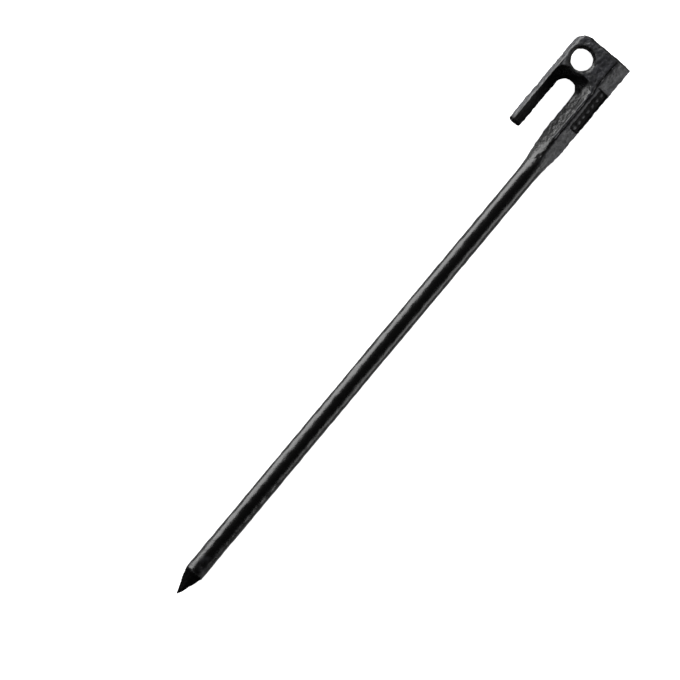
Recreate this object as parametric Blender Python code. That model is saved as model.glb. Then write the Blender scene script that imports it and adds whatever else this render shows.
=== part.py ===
"""Solid steel tent stake: a forged head with a cord hook and an eye, a round shaft and a hardened point.

Every shape is drawn in the stake's own frame: the shaft's axis is X, the striking face is at x = 0, the tip
lies towards -X, and the hook reaches out along +Y. The XY plane is the forging's parting plane, so each
half of the head mirrors the other in Z. The parent empty then lays the stake down on its side.
"""

import math

import bmesh
import bpy
from mathutils import Matrix, Vector

MM = 0.001

# Driving dimensions
LENGTH = 300 * MM
SHAFT_R = 4.4 * MM
HALF_THICK = 6.5 * MM
HEAD_LENGTH = 66 * MM
SEAM_GAP = 0.3 * MM

# Outline of the head in the parting plane
BACK_Y = -5.7 * MM
HOOK_OUTER_Y = 21.7 * MM
HOOK_END_X = -49.7 * MM
SHOULDER_R = 6.0 * MM
HOOK_CORNER_R = 1.2 * MM

# Section of the head across the shaft
RIDGE_Y = 0.1 * MM
PAD_END_Y = 7.5 * MM
BACK_EDGE = 0.95 * MM
HOOK_RIDGE_Y = 19.8 * MM
HOOK_RIDGE_Z = 5.1 * MM
HOOK_OUTER_EDGE = 2.3 * MM

# Slot between the hook and the stem, with its sloping surround
SLOT_Y = 11.18 * MM
SLOT_R = 4.67 * MM
SLOT_TOP_X = -24.57 * MM
SLOT_EDGE = 0.3 * MM
SLOT_SLOPE = math.radians(50.5)

# Eye through the head
EYE_X = -9.8 * MM
EYE_Y = 13.45 * MM
EYE_R = 4.95 * MM
EYE_CHAMFER = 0.9 * MM

# Neck, where the faceted stem runs into the round shaft
NECK_START_X = -44.8 * MM
NECK_START_R = 6.7 * MM
NECK_CURVE = 1.65
NECK_STEPS = 12

# Sunk panel on each back facet
PANEL_TOP_X = -14.9 * MM
PANEL_LENGTH = 21.2 * MM
PANEL_WIDTH = 6.1 * MM
PANEL_FROM_RIDGE = 1.9 * MM
PANEL_DEPTH = 0.9 * MM
PANEL_CORNER_R = 1.0 * MM

# Spigots that hold the pieces together
SOCKET_R = 3.0 * MM
SOCKET_DEPTH = 15.7 * MM
TIP_SOCKET_R = 2.2 * MM
TIP_SOCKET_DEPTH = 10 * MM
SPIGOT_CHAMFER = 0.4 * MM

# Point
POINT_LENGTH = 11.7 * MM
POINT_SHOULDER_R = 4.5 * MM
POINT_SHOULDER_LAND = 0.3 * MM
TIP_R = 0.3 * MM

SIDES = 48
ARC_STEPS = 12
BEYOND = 3 * MM
SHARP_ANGLE = math.radians(9)

HEAD_PAINT = (0.018, 0.018, 0.020)
SHAFT_PAINT = (0.015, 0.015, 0.016)
POINT_PAINT = (0.010, 0.010, 0.011)


def clear_scene():
    for obj in list(bpy.data.objects):
        bpy.data.objects.remove(obj)


def paint(name, colour, roughness):
    """Black coating over steel."""
    material = bpy.data.materials.new(name)
    material.use_nodes = True
    shader = material.node_tree.nodes["Principled BSDF"]
    shader.inputs["Base Color"].default_value = (*colour, 1.0)
    shader.inputs["Roughness"].default_value = roughness
    shader.inputs["Metallic"].default_value = 0.0
    return material


def shade(mesh):
    """Rounds look smooth and the facets' edges stay crisp."""
    mesh.shade_smooth()
    mesh.set_sharp_from_angle(angle=SHARP_ANGLE)


def add_object(name, mesh_builder, parent, material=None):
    """Links a bmesh as an object with its normals facing out."""
    bmesh.ops.recalc_face_normals(mesh_builder, faces=mesh_builder.faces)
    mesh = bpy.data.meshes.new(name)
    mesh_builder.to_mesh(mesh)
    mesh_builder.free()
    shade(mesh)
    if material:
        mesh.materials.append(material)
    obj = bpy.data.objects.new(name, mesh)
    obj.parent = parent
    bpy.context.scene.collection.objects.link(obj)
    return obj


def arc(centre, radius, start, end, steps=ARC_STEPS):
    """Points on a circle in a plane, from one angle to another, in degrees."""
    points = []
    for i in range(steps + 1):
        angle = math.radians(start + (end - start) * i / steps)
        points.append((centre[0] + radius * math.cos(angle), centre[1] + radius * math.sin(angle)))
    return points


def prism(loops):
    """Closed solid through a list of loops that have the same number of points."""
    builder = bmesh.new()
    rings = [[builder.verts.new(point) for point in loop] for loop in loops]
    for low, high in zip(rings, rings[1:]):
        for i in range(len(low)):
            j = (i + 1) % len(low)
            builder.faces.new((low[i], low[j], high[j], high[i]))
    builder.faces.new(rings[0])
    builder.faces.new(rings[-1])
    return builder


def turned(profile, sides=SIDES):
    """Solid of revolution about X from (x, radius) pairs, closed where the profile meets the axis."""
    builder = bmesh.new()
    points = [builder.verts.new((x, radius, 0)) for x, radius in profile]
    closes_on_axis = profile[0][1] == 0 and profile[-1][1] == 0
    pairs = list(zip(points, points[1:]))
    if not closes_on_axis:
        pairs.append((points[-1], points[0]))
    edges = [builder.edges.new(pair) for pair in pairs]
    bmesh.ops.spin(
        builder,
        geom=points + edges,
        cent=(0, 0, 0),
        axis=(1, 0, 0),
        angle=math.tau,
        steps=sides,
        use_merge=True,
    )
    bmesh.ops.remove_doubles(builder, verts=builder.verts, dist=0.001 * MM)
    return builder


def helper(name, mesh_builder, parent):
    """A cutter: it shapes its neighbour and isn't part of the stake."""
    obj = add_object(name, mesh_builder, parent)
    obj.hide_render = True
    obj.display_type = "WIRE"
    return obj


def combine(target, other, operation):
    modifier = target.modifiers.new(f"{operation.lower()}_{other.name}", "BOOLEAN")
    modifier.operation = operation
    modifier.object = other
    modifier.solver = "EXACT"


def apply_modifiers(obj):
    """Bakes the Booleans into the mesh, so that the new edges are shaded too."""
    depsgraph = bpy.context.evaluated_depsgraph_get()
    mesh = bpy.data.meshes.new_from_object(obj.evaluated_get(depsgraph))
    obj.modifiers.clear()
    obj.data = mesh
    shade(mesh)


def head_section():
    """Half of the section across the shaft, as (y, z), from the back edge over the ridge to the hook."""
    return [
        (BACK_Y, BACK_EDGE),
        (RIDGE_Y, HALF_THICK),
        (PAD_END_Y, HALF_THICK),
        (HOOK_RIDGE_Y, HOOK_RIDGE_Z),
        (HOOK_OUTER_Y, HOOK_OUTER_EDGE),
    ]


def head_blank():
    """The section drawn out along the whole head."""
    upper = head_section()
    loop = upper + [(y, -z) for y, z in reversed(upper)]
    return prism([[(x, y, z) for y, z in loop] for x in (0, -HEAD_LENGTH)])


def head_outline():
    """The outline in the parting plane, without its slot, cut through the full thickness."""
    top = BEYOND
    reach = HALF_THICK + BEYOND
    shoulder = (-SHOULDER_R, HOOK_OUTER_Y - SHOULDER_R)
    hook_end = (HOOK_END_X + HOOK_CORNER_R, HOOK_OUTER_Y - HOOK_CORNER_R)
    hook_inner = (HOOK_END_X + HOOK_CORNER_R, SLOT_Y + SLOT_R + HOOK_CORNER_R)
    outline = [(top, BACK_Y - BEYOND), (top, shoulder[1])]
    outline += [(0, shoulder[1])]
    outline += arc(shoulder, SHOULDER_R, 0, 90)[1:]
    outline += arc(hook_end, HOOK_CORNER_R, 90, 180)
    outline += arc(hook_inner, HOOK_CORNER_R, 180, 270)
    outline += [(HOOK_END_X + HOOK_CORNER_R, SLOT_Y)]
    outline += [(-HEAD_LENGTH - BEYOND, SLOT_Y), (-HEAD_LENGTH - BEYOND, BACK_Y - BEYOND)]
    return prism([[(x, y, z) for x, y in outline] for z in (-reach, reach)])


def slot_loop(z):
    """The slot's outline at a height: it widens up the slope from a narrow land at the parting plane."""
    rise = max(abs(z) - SLOT_EDGE, 0)
    radius = SLOT_R + rise / math.tan(SLOT_SLOPE)
    open_end = -HEAD_LENGTH - BEYOND
    outline = arc((SLOT_TOP_X, SLOT_Y), radius, 90, -90, 2 * ARC_STEPS)
    outline += [(open_end, SLOT_Y - radius), (open_end, SLOT_Y + radius)]
    return [(x, y, z) for x, y in outline]


def slot_cutter():
    reach = HALF_THICK + BEYOND
    return prism([slot_loop(z) for z in (-reach, -SLOT_EDGE, SLOT_EDGE, reach)])


def neck_cutter():
    """A ring with a trumpet bore, which turns the faceted stem down to the round shaft."""
    bore = []
    for i in range(NECK_STEPS + 1):
        along = 1 - i / NECK_STEPS
        radius = SHAFT_R + (NECK_START_R - SHAFT_R) * along**NECK_CURVE
        bore.append((-HEAD_LENGTH + (NECK_START_X + HEAD_LENGTH) * along, radius))
    outer = SLOT_Y - 0.3 * MM
    bore.append((-HEAD_LENGTH - BEYOND, SHAFT_R))
    bore.append((-HEAD_LENGTH - BEYOND, outer))
    bore.append((NECK_START_X, outer))
    return turned(bore)


def eye_cutter():
    builder = turned(
        [(-HALF_THICK - BEYOND, 0), (-HALF_THICK - BEYOND, EYE_R), (HALF_THICK + BEYOND, EYE_R)]
        + [(HALF_THICK + BEYOND, 0)]
    )
    upright = Matrix.Rotation(math.radians(90), 4, "Y")
    bmesh.ops.transform(builder, matrix=Matrix.Translation((EYE_X, EYE_Y, 0)) @ upright, verts=builder.verts)
    return builder


def eye_rim_cutter(side):
    """A countersink square to the sloping face of the head, on the upper (1) or the lower (-1) side."""
    slope = math.atan2(HALF_THICK - HOOK_RIDGE_Z, HOOK_RIDGE_Y - PAD_END_Y)
    surface_z = HALF_THICK - (EYE_Y - PAD_END_Y) * math.tan(slope)
    depth = EYE_R + EYE_CHAMFER
    builder = turned([(-depth, 0), (BEYOND, depth + BEYOND), (BEYOND, 0)])
    upright = Matrix.Rotation(math.radians(-90), 4, "Y")
    lean = Matrix.Rotation(-slope, 4, "X")
    place = Matrix.Translation((EYE_X, EYE_Y, surface_z)) @ lean @ upright
    flip = Matrix.Diagonal((1, 1, side, 1))
    bmesh.ops.transform(builder, matrix=flip @ place, verts=builder.verts)
    return builder


def panel_cutter(side):
    """The sunk panel's block with rounded corners, lying in the upper or the lower back facet."""
    corners = [
        (PANEL_TOP_X - PANEL_CORNER_R, PANEL_WIDTH - PANEL_CORNER_R, 0),
        (PANEL_TOP_X - PANEL_LENGTH + PANEL_CORNER_R, PANEL_WIDTH - PANEL_CORNER_R, 90),
        (PANEL_TOP_X - PANEL_LENGTH + PANEL_CORNER_R, PANEL_CORNER_R, 180),
        (PANEL_TOP_X - PANEL_CORNER_R, PANEL_CORNER_R, 270),
    ]
    outline = []
    for x, across, angle in corners:
        outline += arc((x, across), PANEL_CORNER_R, angle, angle + 90, ARC_STEPS // 2)
    facet = Vector((0, BACK_Y - RIDGE_Y, BACK_EDGE - HALF_THICK)).normalized()
    outward = Vector((1, 0, 0)).cross(facet)
    outward = outward if outward.z > 0 else -outward
    ridge = Vector((0, RIDGE_Y, HALF_THICK))
    loops = []
    for height in (-PANEL_DEPTH, BEYOND):
        base = ridge + outward * height
        loop = [base + Vector((x, 0, 0)) + facet * (PANEL_FROM_RIDGE + across) for x, across in outline]
        loops.append([(point.x, point.y, point.z * side) for point in loop])
    return prism(loops)


def socket_cutter():
    bottom = -HEAD_LENGTH + SOCKET_DEPTH
    mouth = -HEAD_LENGTH - BEYOND
    return turned([(bottom, 0), (bottom, SOCKET_R), (mouth, SOCKET_R), (mouth, 0)])


def make_head(parent):
    head = add_object("head", head_blank(), parent, paint("head_paint", HEAD_PAINT, 0.42))
    combine(head, helper("head_outline", head_outline(), parent), "INTERSECT")
    combine(head, helper("slot_cutter", slot_cutter(), parent), "DIFFERENCE")
    combine(head, helper("neck_cutter", neck_cutter(), parent), "DIFFERENCE")
    combine(head, helper("eye_cutter", eye_cutter(), parent), "DIFFERENCE")
    for side, word in ((1, "upper"), (-1, "lower")):
        combine(head, helper(f"eye_rim_{word}", eye_rim_cutter(side), parent), "DIFFERENCE")
        combine(head, helper(f"panel_{word}", panel_cutter(side), parent), "DIFFERENCE")
    combine(head, helper("socket_cutter", socket_cutter(), parent), "DIFFERENCE")
    apply_modifiers(head)


def make_shaft(parent):
    """The rod, with a spigot that fills the head's socket and a blind socket for the point."""
    top = -HEAD_LENGTH - SEAM_GAP
    spigot_end = -HEAD_LENGTH + SOCKET_DEPTH - SEAM_GAP
    spigot_r = SOCKET_R - SEAM_GAP
    bottom = -LENGTH + POINT_LENGTH + SEAM_GAP
    profile = [
        (spigot_end, 0),
        (spigot_end, spigot_r - SPIGOT_CHAMFER),
        (spigot_end - SPIGOT_CHAMFER, spigot_r),
        (top, spigot_r),
        (top, SHAFT_R),
        (bottom, SHAFT_R),
        (bottom, TIP_SOCKET_R),
        (bottom + TIP_SOCKET_DEPTH, TIP_SOCKET_R),
        (bottom + TIP_SOCKET_DEPTH, 0),
    ]
    add_object("shaft", turned(profile), parent, paint("shaft_paint", SHAFT_PAINT, 0.35))


def make_point(parent):
    """The point, a blunted cone with a low shoulder and a spigot that fills the shaft's socket."""
    shoulder = -LENGTH + POINT_LENGTH
    spigot_end = shoulder + TIP_SOCKET_DEPTH
    spigot_r = TIP_SOCKET_R - SEAM_GAP
    profile = [
        (spigot_end, 0),
        (spigot_end, spigot_r - SPIGOT_CHAMFER),
        (spigot_end - SPIGOT_CHAMFER, spigot_r),
        (shoulder, spigot_r),
        (shoulder, POINT_SHOULDER_R),
        (shoulder - POINT_SHOULDER_LAND, POINT_SHOULDER_R),
        (-LENGTH, TIP_R),
        (-LENGTH, 0),
    ]
    add_object("point", turned(profile), parent, paint("point_paint", POINT_PAINT, 0.5))


def main():
    clear_scene()
    lying = bpy.data.objects.new("stake_frame", None)
    lying.location = (LENGTH / 2, -(HOOK_OUTER_Y + BACK_Y) / 2, HALF_THICK)
    bpy.context.scene.collection.objects.link(lying)
    make_head(lying)
    make_shaft(lying)
    make_point(lying)


main()
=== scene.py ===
"""Looks of the tent stake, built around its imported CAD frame.

The stake lies on its side: the shaft runs along X with the point towards -X, the hook reaches out along +Y,
and the forging's parting plane is horizontal. Shapes are worked out in millimetres in the stake's own frame,
whose origin is on the shaft's axis at the striking face, and are then placed where the CAD has that point.

The head and the point are forgings, so they are drawn as fields: functions that are negative in the steel,
positive outside and close to the distance from the surface. Rounded edges come from mixing fields smoothly.
"""

import math

import bpy
import numpy as np
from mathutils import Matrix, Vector, noise


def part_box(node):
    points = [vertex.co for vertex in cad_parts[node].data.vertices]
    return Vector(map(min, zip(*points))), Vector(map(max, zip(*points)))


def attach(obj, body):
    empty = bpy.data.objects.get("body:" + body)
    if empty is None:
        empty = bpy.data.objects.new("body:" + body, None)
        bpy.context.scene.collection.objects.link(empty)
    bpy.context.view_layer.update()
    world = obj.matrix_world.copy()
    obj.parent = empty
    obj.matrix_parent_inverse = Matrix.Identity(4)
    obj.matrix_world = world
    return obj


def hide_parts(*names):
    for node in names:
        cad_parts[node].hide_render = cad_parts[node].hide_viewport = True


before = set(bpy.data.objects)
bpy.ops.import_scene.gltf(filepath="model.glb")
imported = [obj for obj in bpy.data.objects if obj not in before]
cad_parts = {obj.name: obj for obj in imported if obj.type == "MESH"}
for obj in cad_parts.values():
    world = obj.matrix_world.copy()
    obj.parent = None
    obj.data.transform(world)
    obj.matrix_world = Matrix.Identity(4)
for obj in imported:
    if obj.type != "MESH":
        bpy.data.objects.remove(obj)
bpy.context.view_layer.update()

MM = 0.001
head_low, head_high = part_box("head")
shaft_low, shaft_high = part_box("shaft")
point_low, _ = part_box("point")

# The stake's own frame and driving sizes, read from the CAD, in millimetres
ORIGIN = Vector((head_high.x, (shaft_low.y + shaft_high.y) / 2, (shaft_low.z + shaft_high.z) / 2))
SHAFT_R = (shaft_high.y - shaft_low.y) / 2 / MM
HALF_THICK = (head_high.z - head_low.z) / 2 / MM
NECK_END_X = (head_low.x - ORIGIN.x) / MM
SHOULDER_X = (shaft_low.x - ORIGIN.x) / MM
TIP_X = (point_low.x - ORIGIN.x) / MM
BACK_Y = (head_low.y - ORIGIN.y) / MM
HOOK_OUTER_Y = (head_high.y - ORIGIN.y) / MM

# Section across the head, from the back edge over the ridge and the pad to the hook
RIDGE_Y = 0.1
PAD_END_Y = 7.5
BACK_EDGE = 0.95
HOOK_RIDGE_Y = 19.8
HOOK_RIDGE_Z = 5.1
HOOK_OUTER_EDGE = 2.3
SECTION = (
    (BACK_Y, BACK_EDGE),
    (RIDGE_Y, HALF_THICK),
    (PAD_END_Y, HALF_THICK),
    (HOOK_RIDGE_Y, HOOK_RIDGE_Z),
    (HOOK_OUTER_Y, HOOK_OUTER_EDGE),
)

# Outline of the head in the parting plane
HOOK_END_X = -49.7
SHOULDER_R = 6.0
HOOK_END_ROUND = 1.4
SLOT_Y = 11.18
SLOT_R = 4.67
SLOT_TOP_X = -24.57
EYE_X, EYE_Y, EYE_R = -9.8, 13.45, 4.95

# Flank of the slot: its height at the slot, its slope, how hollow it is and how full its upper corners are
SLOT_EDGE = 0.3
SLOT_SLOPE = math.radians(50.5)
SLOT_COVE = 0.035
CORNER_POWER = 4
CORNER_REACH = 5

# Neck: a trumpet from the stem to the shaft, with a keel above and below that leans away from the hook
NECK_START_X = -44.8
NECK_START_R = 6.7
NECK_CURVE = 1.65
NECK_OPENS = 0.9
NECK_KEEL = 5.0
NECK_KEEL_CURVE = 1.4
NECK_RIDGE = 6.4
NECK_LEAN = 1.4
NECK_BACK = 0.35
NECK_BACK_REACH = 3
NECK_BLEND = 1.2

# How far the stem's facets step back so that they leave the neck whole, and where that starts and is complete
NECK_CLEAR = 1.6
NECK_CLEAR_X = (NECK_END_X + 22, NECK_END_X + 3)

# Sunk panel on each back facet, with a row of plain studs
PANEL_TOP_X = -14.9
PANEL_LENGTH = 21.2
PANEL_WIDTH = 6.1
PANEL_FROM_RIDGE = 1.9
PANEL_DEPTH = 0.9
PANEL_CORNER_R = 1.0
STUD_COUNT = 7
STUD_R = 1.0
STUD_HEIGHT = 0.5

# Crease beside the pad, along the whole ridge: the x and the y of the places that it goes through
CREASE_PATH = ((-62, -54, -45, -18, -15.5), (-0.2, -0.05, 0.35, 0.4, 1.1))
CREASE_WIDTH = 0.42
CREASE_DEPTH = 0.22
CREASE_REACH = 1.2
CREASE_FADE_X = (NECK_START_X - 8, NECK_START_X)
RIDGE_RISE = 14

# How far the forging's edges are rounded
EDGE_ROUND = 0.8
STEM_CREST_ROUND = 0.5
HOOK_CREST_ROUND = 0.3
CREST_BLEND = 3
SLOT_ROUND = 0.5
RIM_ROUND = 2.2
FACE_ROUND = 0.7
PANEL_ROUND = 0.2

# Flash line round the parting plane
FLASH_WIDTH = 0.55
FLASH_HEIGHT = 0.12

# Each joint is a short taper inside the neighbouring piece, so that no step shows on the surface
JOINT_LENGTH = 1.5
JOINT_TAPER = 0.06

HEAD_VOXEL = 0.245
POINT_VOXEL = 0.16
FAR_INSIDE = -10.0


def smooth_max(a, b, reach):
    """The larger of two fields, with the edge between them rounded over the given reach."""
    overlap = np.maximum(reach - np.abs(a - b), 0) / reach
    return np.maximum(a, b) + overlap**2 * reach / 4


def ramp(values, start, end):
    """A smooth rise from 0 at start to 1 at end, which may be lower than start."""
    share = np.clip((values - start) / (end - start), 0, 1)
    return share * share * (3 - 2 * share)


def above_line(y, z, start, end):
    """Distance above the line through two points of the section, given from the back towards the hook."""
    dy, dz = end[0] - start[0], end[1] - start[1]
    return ((z - start[1]) * dy - (y - start[0]) * dz) / math.hypot(dy, dz)


def section_field(y, z, flash):
    """The facets and the pad, between the head's two outer edges."""
    field = smooth_max(BACK_Y - y - flash, y - HOOK_OUTER_Y - flash, EDGE_ROUND)
    for start, end in zip(SECTION, SECTION[1:]):
        field = smooth_max(field, above_line(y, z, start, end), EDGE_ROUND)
    return field


def slot_distance(x, y):
    """Distance from the wall of the slot in the parting plane, positive in the steel."""
    along = np.maximum(x - SLOT_TOP_X, 0)
    return np.hypot(along, y - SLOT_Y) - SLOT_R


def slot_surround(x, y, z):
    """The hollow flank that slopes up from the slot; its upper edge has fuller corners than the slot."""
    wall = slot_distance(x, y)
    along, across = np.maximum(x - SLOT_TOP_X, 0), np.abs(y - SLOT_Y)
    full = (along**CORNER_POWER + across**CORNER_POWER) ** (1 / CORNER_POWER) - SLOT_R
    wall = wall + (full - wall) * ramp(wall, 0, CORNER_REACH)
    cove = SLOT_COVE * np.maximum(wall, 0) * np.maximum(CORNER_REACH - wall, 0)
    return (z - SLOT_EDGE - wall * math.tan(SLOT_SLOPE) + cove) * math.cos(SLOT_SLOPE)


def along_facet(y, z):
    """Distance down the back facet from the ridge."""
    (back_y, back_z), (ridge_y, ridge_z) = SECTION[0], SECTION[1]
    length = math.hypot(ridge_y - back_y, ridge_z - back_z)
    return ((ridge_y - y) * (ridge_y - back_y) + (ridge_z - z) * (ridge_z - back_z)) / length


def stud_at(x, y, z):
    """1 in the middle of each stud in the sunk panel, falling to 0 around it."""
    centre_x = PANEL_TOP_X - PANEL_LENGTH / 2
    pitch = PANEL_LENGTH / STUD_COUNT
    nearest = np.clip(np.round((x - centre_x) / pitch), -(STUD_COUNT // 2), STUD_COUNT // 2) * pitch
    away = np.hypot(x - centre_x - nearest, along_facet(y, z) - PANEL_FROM_RIDGE - PANEL_WIDTH / 2)
    return np.exp(-((away / STUD_R) ** 4))


def panel_field(x, y, z):
    """The sunk panel's cutter, less the studs that stand on its floor."""
    depth = -above_line(y, z, SECTION[0], SECTION[1])
    half_length, half_width = PANEL_LENGTH / 2, PANEL_WIDTH / 2
    across = np.abs(along_facet(y, z) - PANEL_FROM_RIDGE - half_width) - half_width + PANEL_CORNER_R
    lengthwise = np.abs(x - PANEL_TOP_X + half_length) - half_length + PANEL_CORNER_R
    outside = np.hypot(np.maximum(across, 0), np.maximum(lengthwise, 0))
    outline = outside + np.minimum(np.maximum(across, lengthwise), 0) - PANEL_CORNER_R
    return smooth_max(outline, depth - PANEL_DEPTH + STUD_HEIGHT * stud_at(x, y, z), PANEL_ROUND)


def crease_at(x, y, z):
    """1 in the middle of the crease, falling to 0 beside it."""
    top = np.interp(x, (NECK_END_X, NECK_END_X + RIDGE_RISE), (SHAFT_R, HALF_THICK))
    away = (y - np.interp(x, *CREASE_PATH)) / CREASE_WIDTH
    return np.exp(-(away**2)) * ramp(z, top - CREASE_REACH, top - CREASE_REACH / 2)


def neck_field(x, y, z):
    """The trumpet that turns the stem down to the round shaft; near the stem its sides meet in a ridge."""
    along = np.clip((x - NECK_END_X) / (NECK_START_X - NECK_END_X), 0, 1)
    slimmer = NECK_BACK * along * ramp(y, 0, -NECK_BACK_REACH)
    radius = SHAFT_R + (NECK_START_R - SHAFT_R) * along**NECK_CURVE - slimmer
    radius = radius + NECK_OPENS * np.maximum(x - NECK_START_X, 0)
    radius = radius - JOINT_TAPER * np.maximum(NECK_END_X - x, 0)
    keel = np.minimum(NECK_KEEL * along**NECK_KEEL_CURVE, (NECK_RIDGE**2 - radius**2) / (2 * radius))
    keel = np.maximum(keel, 0)
    across = np.abs(y + NECK_LEAN * along**2 * ramp(z, 0, NECK_START_R))
    return np.where(y > SLOT_Y, FAR_INSIDE, np.hypot(across + keel, z) - radius - keel)


def blank_field(x, y, z, flash):
    """The forging before the slot, the eye, the panels and the neck are taken out of it."""
    field = section_field(y, z, flash)
    corner_x = np.maximum(x + SHOULDER_R, 0)
    corner_y = np.maximum(y - HOOK_OUTER_Y + SHOULDER_R, 0)
    shoulder = np.hypot(corner_x, corner_y) - SHOULDER_R - flash
    return smooth_max(field, np.where(y > SLOT_Y, shoulder, x), FACE_ROUND)


def head_field(points):
    """The whole head, above and below the parting plane alike."""
    x, y, z = points[..., 0], points[..., 1], np.abs(points[..., 2])
    flash = FLASH_HEIGHT * np.exp(-((z / FLASH_WIDTH) ** 2))
    field = blank_field(x, y, z, flash)
    wall = slot_distance(x, y)
    towards_hook = ramp(y, SLOT_Y - CREST_BLEND, SLOT_Y + CREST_BLEND)
    crest = STEM_CREST_ROUND + (HOOK_CREST_ROUND - STEM_CREST_ROUND) * towards_hook
    field = smooth_max(field, slot_surround(x, y, z), crest)
    field = smooth_max(field, -wall - flash, SLOT_ROUND)
    field = smooth_max(field, np.where(y > SLOT_Y, HOOK_END_X - x, FAR_INSIDE), HOOK_END_ROUND)
    field = smooth_max(field, EYE_R - np.hypot(x - EYE_X, y - EYE_Y), RIM_ROUND)
    field = smooth_max(field, -panel_field(x, y, z), PANEL_ROUND)
    field = field + CREASE_DEPTH * crease_at(x, y, z) * ramp(x, *CREASE_FADE_X)
    clear = NECK_CLEAR * ramp(x, *NECK_CLEAR_X) * (y < SLOT_Y)
    field = np.maximum(field - clear, z - HALF_THICK)
    field = smooth_max(field, neck_field(x, y, z), NECK_BLEND)
    return np.maximum(field, NECK_END_X - JOINT_LENGTH - x)


def sample(field, low, high, step):
    """The field's values on a grid of points, and the grid's first point."""
    axes = [np.arange(a - 2 * step, b + 3 * step, step) for a, b in zip(low, high)]
    grid = np.stack(np.meshgrid(*axes, indexing="ij"), axis=-1)
    return field(grid), grid[0, 0, 0]


def surface_net(values, first, step):
    """Vertices and outward quads of the zero surface: one vertex in each cell that the surface crosses."""
    inside = values < 0
    shape = np.array(values.shape) - 1
    offsets = np.array([(i, j, k) for i in (0, 1) for j in (0, 1) for k in (0, 1)])
    corner_views = [inside[i : i + shape[0], j : j + shape[1], k : k + shape[2]] for i, j, k in offsets]
    count = sum(view.astype(np.int8) for view in corner_views)
    cells = np.argwhere((count > 0) & (count < 8))
    index = np.full(shape, -1, np.int64)
    index[tuple(cells.T)] = np.arange(len(cells))
    total, hits = np.zeros((len(cells), 3)), np.zeros(len(cells))
    for axis in range(3):
        unit = np.eye(3, dtype=int)[axis]
        for offset in offsets[offsets[:, axis] == 0]:
            a = values[tuple((cells + offset).T)]
            b = values[tuple((cells + offset + unit).T)]
            crossed = (a < 0) != (b < 0)
            share = a[crossed] / (a[crossed] - b[crossed])
            total[crossed] += offset + share[:, None] * unit
            hits += crossed
    vertices = first + (cells + total / hits[:, None]) * step
    quads = []
    for axis in range(3):
        side_a, side_b = np.eye(3, dtype=int)[(axis + 1) % 3], np.eye(3, dtype=int)[(axis + 2) % 3]
        ahead = np.roll(inside, -1, axis=axis)
        edges = np.argwhere((inside != ahead)[: shape[0], : shape[1], : shape[2]])
        ring = [index[tuple((edges - shift).T)] for shift in (0, side_a, side_a + side_b, side_b)]
        quad = np.stack(ring, axis=1)
        falling = ~inside[tuple(edges.T)]
        quad[falling] = quad[falling][:, ::-1]
        quads.append(quad)
    return vertices, np.concatenate(quads)


def slope_of(field, points, reach=0.02):
    """Gradient of a field at the points."""
    parts = []
    for axis in range(3):
        shift = np.eye(3)[axis] * reach
        parts.append((field(points + shift) - field(points - shift)) / (2 * reach))
    return np.stack(parts, axis=-1)


def settle(field, points, step, rounds=4):
    """Moves points onto the zero surface, and returns them with their outward normals."""
    for _ in range(rounds):
        slope = slope_of(field, points)
        length = np.linalg.norm(slope, axis=1)
        move = np.clip(field(points) / np.maximum(length, 0.2), -step, step)
        points = points - slope / np.maximum(length, 1e-6)[:, None] * move[:, None]
    slope = slope_of(field, points)
    return points, slope / np.linalg.norm(slope, axis=1)[:, None]


def lumps(points, size, seed):
    """Smooth noise from -1 to 1 at each point, with bumps of about the given size in millimetres."""
    shift = Vector((seed * 17.3, seed * 5.9, seed * 11.1))
    return np.array([noise.noise(Vector(p) / size + shift) for p in points])


def add_piece(name, vertices, faces, node, material, paint):
    """Adds a smooth closed piece that stands for a CAD node; paint holds values that its material reads."""
    mesh = bpy.data.meshes.new(name)
    world = np.asarray(vertices) * MM + np.array(ORIGIN)
    mesh.from_pydata(world.tolist(), [], faces)
    mesh.shade_smooth()
    for key, values in paint.items():
        attribute = mesh.attributes.new(key, "FLOAT", "POINT")
        attribute.data.foreach_set("value", np.asarray(values, np.float32))
    mesh.materials.append(material)
    piece = bpy.data.objects.new(name, mesh)
    bpy.context.scene.collection.objects.link(piece)
    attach(piece, "root")
    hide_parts(node)


def edge_wear(field, points, normals, reach, gain=4):
    """How sharply the surface turns outwards at each point, from 0 on flats to 1 on tight edges."""
    sunk = -field(points - normals * reach)
    return np.clip((reach - sunk) / reach * gain, 0, 1)


def forged_surface(field, low, high, step):
    """Vertices on a field's surface, their normals, and the faces."""
    values, first = sample(field, low, high, step)
    points, faces = surface_net(values, first, step)
    points, normals = settle(field, points, step)
    return points, normals, faces.tolist()


def forged_lumps(points, scales):
    """How far forging pushes each point out; scales is a list of (size, height) in millimetres."""
    return sum(height * lumps(points, size, seed) for seed, (size, height) in enumerate(scales))


# Head
HEAD_LUMPS = ((6.5, 0.2), (2.4, 0.28), (1.2, 0.18))
LUMPS_FADE = 10
LUMPS_LESS_ON_BAR = 0.7

# Where each change in the head's coating and each patch of painted shade starts and is complete: in mm, but
# FACE_TURN is the normal's X
DEEP = (0.02, 0.25)
BAR_X = (-50, NECK_END_X + 4)
CREST_X = (-13, -16)
HOOK_END_DARK_X = (HOOK_END_X + 2.6, HOOK_END_X + 0.8)
ARCH_X, ARCH_Y = (SLOT_TOP_X + 0.5, SLOT_TOP_X + 3), (3.8, 5.5)
HOOK_SIDE_X, HOOK_SIDE_Y = (SLOT_TOP_X - 14, SLOT_TOP_X), (SLOT_Y, SLOT_Y + 2)
EYE_TOP_X, EYE_TOP_RIM = (EYE_X + 1, EYE_X + 3), (1.2, 0.9)
EYE_RIM = (0.9, 1.5)
FACE_RIM_X, FACE_TURN = (-1.0, -0.3), (0.95, 0.85)
PANEL_EDGE = (-0.25, 0.1)
# How strong the painted shade is on the hook's inner flank and on the striking face's rim
HOOK_FLANK_SHADE, FACE_RIM_SHADE = 0.6, 0.8


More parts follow.
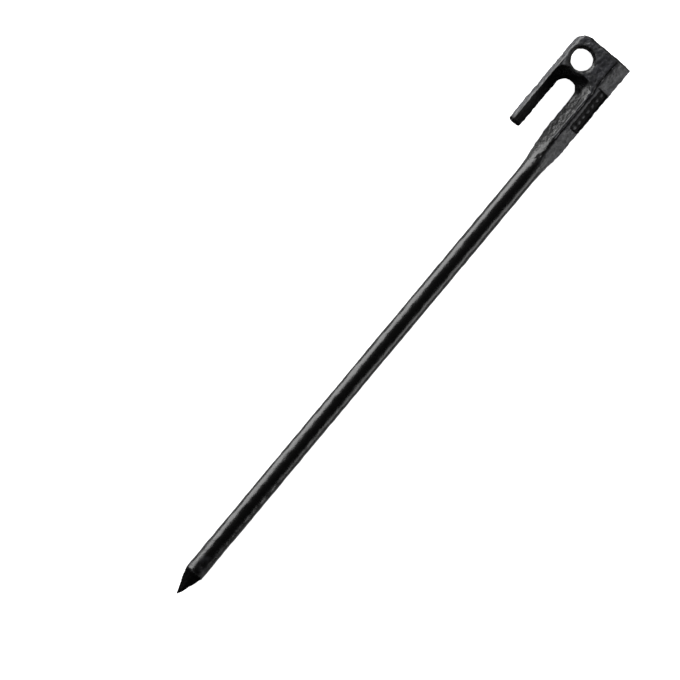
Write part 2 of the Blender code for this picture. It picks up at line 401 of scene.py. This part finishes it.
def head_paint(points, normals):
    """What the coating's material reads at each point of the head.

    depth is 0 on the forging's outer faces and 1 where the coating is painted darker as shade: in recesses,
    in the crease beside the pad and at the hook's end. The matt black and painted shade value marks where the
    coating is matt and painted near black as shade: in the sunk panels and across their top, round the slot,
    at the hook's end and on the striking face's rim. bar marks what is as smooth and black as the shaft: the
    end of the neck, the crease and the hook's ridge; along the crease and the hook's ridge that black is also
    a painted dark line of shade.
    """
    x, y, z = points[:, 0], points[:, 1], np.abs(points[:, 2])
    stud = stud_at(x, y, z)
    sunk = ramp(-blank_field(x, y, z, 0), *DEEP)
    crease = crease_at(x, y, z)
    # Painted shade over the last few millimetres of the hook's end
    hook_end = ramp(x, *HOOK_END_DARK_X) * (y > SLOT_Y)
    crest = np.exp(-(((y - HOOK_RIDGE_Y) / CREASE_WIDTH) ** 2)) * ramp(x, *CREST_X)
    bar = np.maximum.reduce([ramp(x, *BAR_X), crease, crest])
    # Painted shade: darker coating in the recesses, but not on the studs, and at the hook's end; where bar
    # is, the shaft's smooth black
    depth = np.maximum.reduce([sunk * (1 - stud), hook_end, bar])
    # Painted shade: on the sunk surfaces round the top of the slot and on the hook's inner flank, kept off
    # the eye's rim, and on the eye's rim towards the striking face
    arch = ramp(x, *ARCH_X) * ramp(y, *ARCH_Y)
    from_eye = np.hypot(x - EYE_X, y - EYE_Y) - EYE_R
    hook_side = ramp(y, *HOOK_SIDE_Y) * (HOOK_FLANK_SHADE + (1 - HOOK_FLANK_SHADE) * ramp(x, *HOOK_SIDE_X))
    eye_top = ramp(x, *EYE_TOP_X) * ramp(from_eye, *EYE_TOP_RIM)
    shaded = np.maximum(np.maximum(arch, hook_side) * ramp(from_eye, *EYE_RIM) * sunk, eye_top)
    # Painted shade on the striking face's rim, but not on the face itself
    face_rim = FACE_RIM_SHADE * ramp(x, *FACE_RIM_X) * ramp(normals[:, 0], *FACE_TURN)
    # Painted shade: a thin dark line across the top of each back facet's sunk panel
    panel_line = np.exp(-(((x - PANEL_TOP_X) / CREASE_WIDTH) ** 2)) * (y < RIDGE_Y)
    # Painted shade on the sunk panels, but not on their studs
    panel = ramp(-panel_field(x, y, z), *PANEL_EDGE) * (1 - stud)
    # Every patch of painted shade takes the matt near-black finish
    matt_black_and_painted_shade = np.maximum.reduce([panel, shaded, hook_end, face_rim, panel_line])
    wear = edge_wear(head_field, points, normals, reach=0.6)
    return {"wear": wear, "depth": depth, "matt_black_and_painted_shade": matt_black_and_painted_shade, "bar": bar}


def make_head(material):
    low = (NECK_END_X - JOINT_LENGTH, BACK_Y, -HALF_THICK)
    high = (0, HOOK_OUTER_Y, HALF_THICK)
    points, normals, faces = forged_surface(head_field, low, high, HEAD_VOXEL)
    paint = head_paint(points, normals)
    fade = ramp(points[:, 0], NECK_END_X, NECK_END_X + LUMPS_FADE)
    height = forged_lumps(points, HEAD_LUMPS) * fade * (1 - LUMPS_LESS_ON_BAR * paint["bar"])
    points = points + normals * height[:, None]
    add_piece("forged_head", points, faces, "head", material, paint)


# Shaft
SHAFT_SIDES = 96
SHAFT_STEP = 0.5
SHAFT_END_R = 0.12
SHAFT_FADE = 8

# Unevenness of the bar, each as its length, its height, how fast it changes round the bar, and a shift
SHAFT_WAVES = ((26, 0.04, 0.8, 0), (3.5, 0.14, 1.4, 9))

# Duller patches that cover part of the shaft near the point: how dull they are, their size and their spread
DULL_X = (-268, -280)
DULL, DULL_PATCH = 0.75, 2.2
DULL_COVER, DULL_CONTRAST = 0.45, 1.2

# One small dent near the point
DENT_X, DENT_ANGLE, DENT_SIZE, DENT_DEPTH = -283.4, math.radians(100), 1.0, 0.6


def shaft_profile():
    """(x, radius) from the end inside the neck to the end that the point sits on."""
    top, bottom = NECK_END_X + JOINT_LENGTH, SHOULDER_X
    steps = round((top - bottom) / SHAFT_STEP)
    middle = np.linspace(top, bottom + SHAFT_END_R, steps)
    profile = [(top, SHAFT_R / 2)]
    profile += [(x, SHAFT_R - JOINT_TAPER * max(x - NECK_END_X, 0)) for x in middle]
    profile += [(bottom, SHAFT_R - SHAFT_END_R), (bottom, SHAFT_R / 2)]
    return profile


def shaft_radius(x, radius, angle):
    """Radius at a place on the shaft: drawn bar that is a little uneven, with one small dent."""
    uneven = 0
    for length, height, turn, shift in SHAFT_WAVES:
        place = Vector((x / length, math.cos(angle) * turn, math.sin(angle) * turn + shift))
        uneven += height * noise.noise(place)
    uneven *= ramp(x, NECK_END_X, NECK_END_X - SHAFT_FADE)
    arc = math.remainder(angle - DENT_ANGLE, math.tau) * SHAFT_R
    dent = DENT_DEPTH * math.exp(-((x - DENT_X) ** 2 + arc**2) / DENT_SIZE**2)
    return radius + (uneven - dent) * min(radius / SHAFT_R, 1)


def make_shaft(material):
    vertices, faces = [], []
    profile = shaft_profile()
    for x, radius in profile:
        for i in range(SHAFT_SIDES):
            angle = math.tau * i / SHAFT_SIDES
            r = shaft_radius(x, radius, angle)
            vertices.append((x, r * math.cos(angle), r * math.sin(angle)))
    for ring in range(len(profile) - 1):
        for i in range(SHAFT_SIDES):
            j = (i + 1) % SHAFT_SIDES
            a, b = ring * SHAFT_SIDES, (ring + 1) * SHAFT_SIDES
            faces.append((a + i, a + j, b + j, b + i))
    first, last = len(vertices), len(vertices) + 1
    vertices += [(profile[0][0], 0, 0), (profile[-1][0], 0, 0)]
    end = (len(profile) - 1) * SHAFT_SIDES
    for i in range(SHAFT_SIDES):
        j = (i + 1) % SHAFT_SIDES
        faces.append((first, j, i))
        faces.append((last, end + i, end + j))
    smooth = np.ones(len(vertices))
    near = np.array(vertices)[:, 0] < DULL_X[0]
    dulled = np.array(vertices)[near]
    patches = np.clip(DULL_COVER + DULL_CONTRAST * lumps(dulled, DULL_PATCH, 3), 0, 1)
    smooth[near] = 1 - DULL * ramp(dulled[:, 0], *DULL_X) * patches
    paint = {"depth": smooth, "bar": smooth}
    add_piece("round_shaft", vertices, faces, "shaft", material, paint)


# Point, with its flats given as the way each faces, in degrees, and the share of the radius that it takes off
POINT_TIP_R = 0.42
POINT_LIP = 0.1
POINT_FLATS = ((-30, 0.1), (55, 0.175), (140, 0.15), (228, 0.125))
POINT_FLAT_ROUND = 0.4
POINT_TIP_ROUND = 0.4
POINT_SHOULDER_ROUND = 0.3
POINT_LUMPS = ((3.2, 0.3), (1.3, 0.12), (0.7, 0.05))


def point_field(points):
    """A blunt forged cone with a low lip at its shoulder and four soft hammered flats."""
    x, y, z = points[..., 0], points[..., 1], points[..., 2]
    along = np.clip((SHOULDER_X - x) / (SHOULDER_X - TIP_X), 0, 1)
    radius = POINT_TIP_R + (SHAFT_R + POINT_LIP - POINT_TIP_R) * (1 - along)
    slope = math.atan2(SHAFT_R, SHOULDER_X - TIP_X)
    field = (np.hypot(y, z) - radius) * math.cos(slope)
    for degrees, inset in POINT_FLATS:
        angle = math.radians(degrees)
        outward = y * math.cos(angle) + z * math.sin(angle)
        flat = (outward - radius * (1 - inset * np.sin(math.pi * along))) * math.cos(slope)
        field = smooth_max(field, flat, POINT_FLAT_ROUND)
    field = smooth_max(field, TIP_X - x, POINT_TIP_ROUND)
    return smooth_max(field, x - SHOULDER_X, POINT_SHOULDER_ROUND)


def make_point(material):
    reach = SHAFT_R + POINT_LIP
    low, high = (TIP_X, -reach, -reach), (SHOULDER_X, reach, reach)
    points, normals, faces = forged_surface(point_field, low, high, POINT_VOXEL)
    # The whole point has the matt near-black finish of its own steel, with no painted shade
    paint = {"wear": edge_wear(point_field, points, normals, reach=0.4), "matt_black_and_painted_shade": np.ones(len(points))}
    points = points + normals * forged_lumps(points, POINT_LUMPS)[:, None]
    add_piece("forged_point", points, faces, "point", material, paint)


# Materials: black coating, with the texture that each part's steel gives it


class Nodes:
    """A short way to add linked nodes to a material."""

    def __init__(self, tree):
        self.tree = tree

    def add(self, kind, inputs=None, **settings):
        node = self.tree.nodes.new(kind)
        for key, value in settings.items():
            setattr(node, key, value)
        for key, value in (inputs or {}).items():
            if isinstance(value, bpy.types.NodeSocket):
                self.tree.links.new(value, node.inputs[key])
            else:
                node.inputs[key].default_value = value
        return node

    def noise(self, place, size, detail=3.0, roughness=0.55):
        """Noise with bumps of about the given size in millimetres."""
        inputs = {"Vector": place, "Scale": 1 / (size * MM), "Detail": detail, "Roughness": roughness}
        return self.add("ShaderNodeTexNoise", inputs).outputs["Fac"]

    def range(self, value, low, high, to_low, to_high):
        inputs = {"Value": value, "From Min": low, "From Max": high, "To Min": to_low, "To Max": to_high}
        return self.add("ShaderNodeMapRange", inputs).outputs["Result"]

    def math(self, operation, a, b):
        return self.add("ShaderNodeMath", {0: a, 1: b}, operation=operation).outputs[0]

    def blend(self, share, a, b):
        return self.add("ShaderNodeMix", {0: share, 2: a, 3: b}, data_type="FLOAT").outputs[0]

    def mix(self, share, a, b):
        mixer = self.add("ShaderNodeMix", {"Factor": share}, data_type="RGBA")
        for key, value in (("A", a), ("B", b)):
            socket = next(s for s in mixer.inputs if s.name == key and s.type == "RGBA")
            if isinstance(value, bpy.types.NodeSocket):
                self.tree.links.new(value, socket)
            else:
                socket.default_value = (*value, 1)
        return next(s for s in mixer.outputs if s.type == "RGBA")


# Each finish is a dark and a light colour that the coating drifts between, and its roughness for each
SKIN = ((0.0025, 0.0025, 0.003), (0.039, 0.040, 0.046), (0.50, 0.29))
# DEEP_BLACK is painted shade in the head's recesses and at the hook's end, and part of the shaft's dull
# patches
DEEP_BLACK = ((0.002, 0.002, 0.002), (0.005, 0.005, 0.005), (0.40, 0.27))
# BAR_BLACK is the shaft's own smooth black; along the crease and the hook's ridge it is also a painted dark
# line of shade
BAR_BLACK = ((0.002, 0.002, 0.002), (0.004, 0.004, 0.004), (0.31, 0.23))
# The matt near-black finish: painted shade on the head, and the point's own matt black
MATT_BLACK_AND_SHADE = ((0.0007, 0.0007, 0.0007), (0.003, 0.003, 0.003), (0.90, 0.60))
WORN = (0.06, 0.06, 0.062)
SPECULAR, MATT_BLACK_AND_SHADE_SPECULAR = 0.5, 0.02
BAR_BUMP = 0.032

# The coating's texture: sizes as multiples of the grain, the ranges of noise that count, shares and heights
PATCH_SIZE, DRIFT_SIZE, PIT_SIZE = 3.5, 12, 1.6
DRIFT_RANGE, MOTTLE_RANGE, RUBBED_RANGE = (0.3, 0.7), (0.62, 0.88), (0.5, 0.65)
SPECKLE_SHARE, DRIFT_SHARE, MOTTLE_SHARE, RUBBED_SHARE = 0.5, 0.3, 0.7, 0.6
PATCH_HEIGHT, PIT_DEPTH, PIT_EDGE = 2.5, 0.5, 0.5


def coating(name, grain, bump):
    """Black coating over steel, whose finish follows the depth, bar and matt black values stored on the mesh;
    on the head, depth and the matt black value are painted shade.

    grain is the size of the steel's texture and bump its height, in millimetres.
    """
    material = bpy.data.materials.new(name)
    material.use_nodes = True
    nodes = Nodes(material.node_tree)
    shader = material.node_tree.nodes["Principled BSDF"]
    place = nodes.add("ShaderNodeTexCoord").outputs["Object"]
    speckle = nodes.noise(place, grain, 5, 0.65)
    patches = nodes.noise(place, grain * PATCH_SIZE, 4, 0.6)
    drift = nodes.range(nodes.noise(place, grain * DRIFT_SIZE, 3), *DRIFT_RANGE, 0, 1)
    mottle = nodes.math("ADD", patches, nodes.math("MULTIPLY", speckle, SPECKLE_SHARE))
    mottle = nodes.math("MULTIPLY", nodes.range(mottle, *MOTTLE_RANGE, 0, 1), MOTTLE_SHARE)
    tone = nodes.math("ADD", nodes.math("MULTIPLY", drift, DRIFT_SHARE), mottle)
    colour = nodes.mix(tone, *SKIN[:2])
    rough = nodes.range(tone, 0, 1, *SKIN[2])
    shares = {}
    for key, finish in (("depth", DEEP_BLACK), ("bar", BAR_BLACK), ("matt_black_and_painted_shade", MATT_BLACK_AND_SHADE)):
        share = shares[key] = nodes.add("ShaderNodeAttribute", attribute_name=key).outputs["Fac"]
        colour = nodes.mix(share, colour, nodes.mix(tone, *finish[:2]))
        rough = nodes.blend(share, rough, nodes.range(tone, 0, 1, *finish[2]))
    wear = nodes.add("ShaderNodeAttribute", attribute_name="wear").outputs["Fac"]
    rubbed = nodes.math("MULTIPLY", wear, nodes.range(speckle, *RUBBED_RANGE, 0, RUBBED_SHARE))
    colour = nodes.mix(rubbed, colour, WORN)
    material.node_tree.links.new(colour, shader.inputs["Base Color"])
    material.node_tree.links.new(rough, shader.inputs["Roughness"])
    specular = nodes.blend(shares["matt_black_and_painted_shade"], SPECULAR, MATT_BLACK_AND_SHADE_SPECULAR)
    material.node_tree.links.new(specular, shader.inputs["Specular IOR Level"])
    pits = nodes.add("ShaderNodeTexVoronoi", {"Vector": place, "Scale": 1 / (grain * PIT_SIZE * MM)})
    pitting = nodes.range(pits.outputs["Distance"], 0.0, PIT_EDGE, -PIT_DEPTH, 0.0)
    height = nodes.math("ADD", speckle, nodes.math("MULTIPLY", patches, PATCH_HEIGHT))
    height = nodes.math("ADD", height, pitting)
    distance = nodes.blend(shares["bar"], bump * MM, BAR_BUMP * MM)
    relief = nodes.add("ShaderNodeBump", {"Height": height, "Distance": distance, "Strength": 1.0})
    material.node_tree.links.new(relief.outputs["Normal"], shader.inputs["Normal"])
    return material


# Studio
TABLE_GLOW = 0.3
ROOM_GLOW = 0.01
UNDER_GLOW = 0.9
END_GLOW = 1.1

# Where each part of the world's light starts and ends, as the height or the X of its direction
BESIDE = (-0.6, -0.2)
UNDER = (-0.9, -0.65)
BAND_BOTTOM, BAND_TOP = (-0.05, 0.05), (0.3, 0.4)
BEYOND_TIP = (-0.35, -0.55)

# Softboxes: name, place, what each faces, width, height and glow
SOFTBOXES = (
    ("hook_side", (0.2, 0.7, 0.17), (0.2, 0.0, 0.0), 1.0, 0.66, 6.7),
    ("back_side", (0.26, -0.55, 0.09), (0.26, 0.0, 0.0), 0.7, 0.3, 2.75),
    ("head_end", (0.75, 0.0, 0.55), (0.1, 0.0, 0.0), 0.8, 0.5, 1.7),
)

TABLE_SIZE = 8.0
REST_FROM_FACE = 15.4


def make_floor():
    """A pale table that glows a little, tilted so that both the head and the point's end touch it."""
    rest_x, rest_z = head_high.x - REST_FROM_FACE * MM, head_low.z
    far_x, far_z = shaft_low.x, shaft_low.z
    tilt = math.atan2(far_z - rest_z, rest_x - far_x)
    mesh = bpy.data.meshes.new("table")
    half = TABLE_SIZE / 2
    corners = [(-half, -half, 0), (half, -half, 0), (half, half, 0), (-half, half, 0)]
    mesh.from_pydata(corners, [], [(0, 1, 2, 3)])
    material = bpy.data.materials.new("table")
    material.use_nodes = True
    shader = material.node_tree.nodes["Principled BSDF"]
    shader.inputs["Base Color"].default_value = (0.9, 0.9, 0.9, 1)
    shader.inputs["Roughness"].default_value = 0.9
    shader.inputs["Specular IOR Level"].default_value = 0.0
    shader.inputs["Emission Color"].default_value = (1, 1, 1, 1)
    shader.inputs["Emission Strength"].default_value = 1.0
    mesh.materials.append(material)
    floor = bpy.data.objects.new("table", mesh)
    floor.visible_diffuse = False
    floor.visible_glossy = False
    floor.visible_shadow = False
    floor.location = (rest_x, 0, rest_z)
    floor.rotation_euler = (0, tilt, 0)
    bpy.context.scene.collection.objects.link(floor)


def make_softbox(name, place, target, width, height, glow):
    """A rectangular lamp that faces the target, with its glow given as radiance."""
    lamp = bpy.data.lights.new(name, "AREA")
    lamp.shape = "RECTANGLE"
    lamp.size, lamp.size_y = width, height
    lamp.energy = glow * math.pi * width * height
    box = bpy.data.objects.new(name, lamp)
    box.location = place
    towards = Vector(place) - Vector(target)
    box.rotation_euler = towards.to_track_quat("Z", "Y").to_euler()
    box.visible_camera = False
    bpy.context.scene.collection.objects.link(box)


def make_world():
    """White where the camera looks past the table; for the stake, a dark room over a pale table's glow.

    A low band of light beyond the point's end shows the shaft's form from the sides.
    """
    world = bpy.data.worlds.new("studio")
    world.use_nodes = True
    background = world.node_tree.nodes["Background"]
    nodes = Nodes(world.node_tree)
    direction = nodes.add("ShaderNodeTexCoord").outputs["Generated"]
    sides = nodes.add("ShaderNodeSeparateXYZ", {"Vector": direction}).outputs
    height = sides["Z"]
    beside = nodes.range(height, *BESIDE, TABLE_GLOW, ROOM_GLOW)
    under = nodes.range(height, *UNDER, UNDER_GLOW, 0)
    above, below = nodes.range(height, *BAND_BOTTOM, 0, 1), nodes.range(height, *BAND_TOP, 1, 0)
    band = nodes.math("MULTIPLY", above, below)
    tip_end = nodes.math("MULTIPLY", nodes.range(sides["X"], *BEYOND_TIP, 0, END_GLOW), band)
    lit = nodes.math("MAXIMUM", nodes.math("MAXIMUM", beside, under), tip_end)
    ray = nodes.add("ShaderNodeLightPath").outputs["Is Camera Ray"]
    seen = nodes.math("MAXIMUM", ray, lit)
    background.inputs["Color"].default_value = (1, 1, 1, 1)
    world.node_tree.links.new(seen, background.inputs["Strength"])
    bpy.context.scene.world = world


# Camera: straight above, turned so that the stake runs from lower left to upper right
AIM = (-20.2 * MM, 8.11 * MM)
LENS_MM, SENSOR_MM = 350, 36
SEEN_WIDTH = 294.8 * MM
TURN = math.radians(-50.16)


def make_camera():
    """A long lens far above, which sees the stake almost without perspective."""
    camera = bpy.data.cameras.new("camera")
    camera.lens = LENS_MM
    camera.sensor_width = SENSOR_MM
    eye = bpy.data.objects.new("camera", camera)
    height = SEEN_WIDTH * LENS_MM / SENSOR_MM
    eye.location = (AIM[0], AIM[1], ORIGIN.z + height)
    eye.rotation_euler = (0, 0, TURN)
    bpy.context.scene.collection.objects.link(eye)
    bpy.context.scene.camera = eye


def main():
    bpy.context.scene.view_settings.view_transform = "Standard"
    make_head(coating("head_coating", grain=0.5, bump=0.09))
    make_shaft(coating("shaft_coating", grain=0.5, bump=0.09))
    make_point(coating("point_coating", grain=0.45, bump=0.06))
    make_floor()
    make_world()
    for softbox in SOFTBOXES:
        make_softbox(*softbox)
    make_camera()


main()
